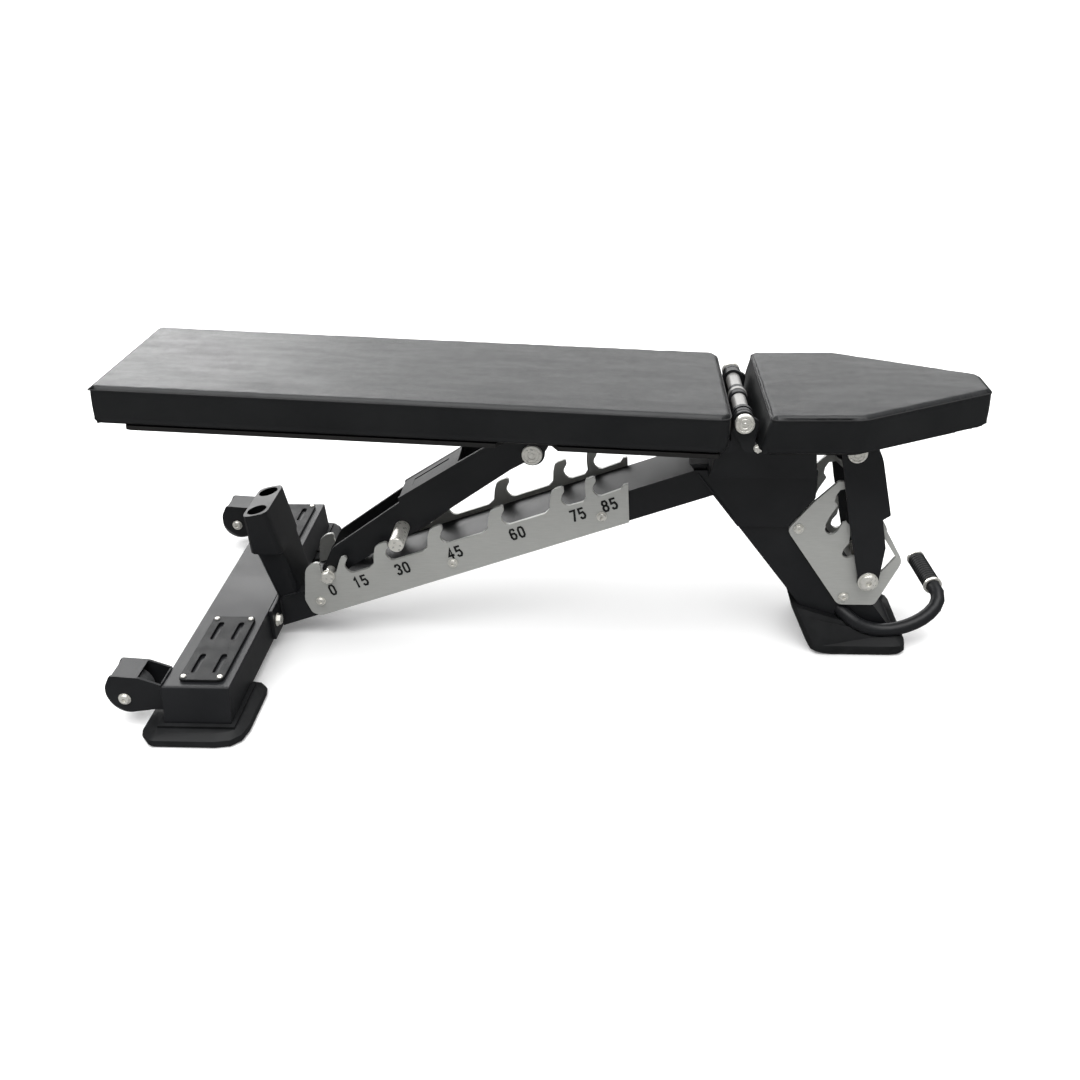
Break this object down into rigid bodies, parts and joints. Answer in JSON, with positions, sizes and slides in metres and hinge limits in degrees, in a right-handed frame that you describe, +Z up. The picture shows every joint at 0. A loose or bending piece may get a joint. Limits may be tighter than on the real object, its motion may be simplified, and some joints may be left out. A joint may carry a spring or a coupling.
{
  "type": "adjustable weight bench",
  "caption": "Padded exercise bench: backrest on a toothed ladder with a support arm, tilting seat on a notched plate, rubber feet, transport rollers and a bar handle.",
  "frame": {"origin": "centre of the bounding box at floor level", "axes": "+X along the bench from the wheels to the seat tip, +Y across it away from the side where the transport bar starts, +Z up"},
  "size_m": [1.3534, 0.73, 0.4972],
  "materials": {
    "frame_paint": "satin black powder coat",
    "rack_paint": "satin silver-grey coat",
    "grip_paint": "satin light grey coat",
    "zinc": "bright zinc plate",
    "boot_rubber": "matt moulded rubber",
    "roller_plastic": "matt grey",
    "pad_leather": "smooth black synthetic leather",
    "pad_board": "black stained plywood"
  },
  "bodies": {
    "base": {"crossbeam": "frame_paint", "foot_boot_near": "boot_rubber", "foot_boot_far": "boot_rubber", "step_plate_near": "boot_rubber", "step_plate_far": "boot_rubber", "wheel_bracket_near": "frame_paint", "wheel_bracket_far": "frame_paint", "wheel_axle_near": "zinc", "wheel_axle_far": "zinc", "spine_flange": "frame_paint", "flange_bolt_near": "zinc", "flange_bolt_far": "zinc", "spine": "frame_paint", "receiver": "frame_paint", "leg": "frame_paint", "leg_gusset_near": "frame_paint", "leg_gusset_far": "frame_paint", "hinge_ear_near": "frame_paint", "hinge_ear_far": "frame_paint", "hinge_rod": "zinc", "hinge_cap_near": "zinc", "hinge_cap_far": "zinc", "hinge_collar": "frame_paint", "back_ladder_near": "rack_paint", "back_ladder_far": "rack_paint", "ladder_bolt_1": "zinc", "ladder_bolt_2": "zinc", "ladder_bolt_3": "zinc", "seat_ladder_near": "rack_paint", "seat_ladder_far": "rack_paint", "seat_ladder_bolt_1": "zinc", "seat_ladder_bolt_2": "zinc", "transport_bar": "frame_paint", "transport_ring": "zinc", "transport_grip": "boot_rubber", "transport_cap": "zinc", "rear_boot": "boot_rubber"},
    "backrest": {"back_pad": "pad_leather", "back_board": "pad_board", "back_rail_near": "frame_paint", "back_rail_far": "frame_paint", "back_cross_tube_upper": "frame_paint", "back_cross_tube_lower": "frame_paint", "arm_pin": "zinc", "arm_pin_cap_near": "zinc", "arm_pin_cap_far": "zinc"},
    "arm": {"arm_plate_near": "frame_paint", "arm_plate_far": "frame_paint", "arm_web": "frame_paint", "lock_rod": "zinc", "arm_grip": "grip_paint"},
    "seat": {"seat_pad": "pad_leather", "seat_board": "pad_board", "seat_rail_near": "frame_paint", "seat_rail_far": "frame_paint", "link_pin": "zinc"},
    "seat_link": {"seat_link": "frame_paint", "link_bolt": "zinc"},
    "wheel_near": {"roller_near": "roller_plastic"},
    "wheel_far": {"roller_far": "roller_plastic"}
  },
  "joints": [
    {"name": "back_hinge", "type": "hinge", "parent": "base", "child": "backrest", "pos_m": [0.298, 0, 0.425], "axis": [0, 1, 0], "range_deg": [0, 82]},
    {"name": "arm_pivot", "type": "hinge", "parent": "backrest", "child": "arm", "pos_m": [-0.021, 0, 0.362], "axis": [0, -1, 0], "range_deg": [0, 116]},
    {"name": "seat_hinge", "type": "hinge", "parent": "base", "child": "seat", "pos_m": [0.298, 0, 0.425], "axis": [0, -1, 0], "range_deg": [0, 25.6]},
    {"name": "seat_link_pivot", "type": "hinge", "parent": "seat", "child": "seat_link", "pos_m": [0.4775, 0, 0.3585], "axis": [0, -1, 0], "range_deg": [-35, 0]},
    {"name": "wheel_near_spin", "type": "hinge", "parent": "base", "child": "wheel_near", "pos_m": [-0.6385, -0.29, 0.055], "axis": [0, 1, 0], "continuous": true},
    {"name": "wheel_far_spin", "type": "hinge", "parent": "base", "child": "wheel_far", "pos_m": [-0.6385, 0.29, 0.055], "axis": [0, 1, 0], "continuous": true}
  ],
  "couplings": [
    {"joint": "arm_pivot", "follows": "back_hinge", "ratio": 1.4},
    {"joint": "seat_link_pivot", "follows": "seat_hinge", "ratio": -1.35}
  ]
}
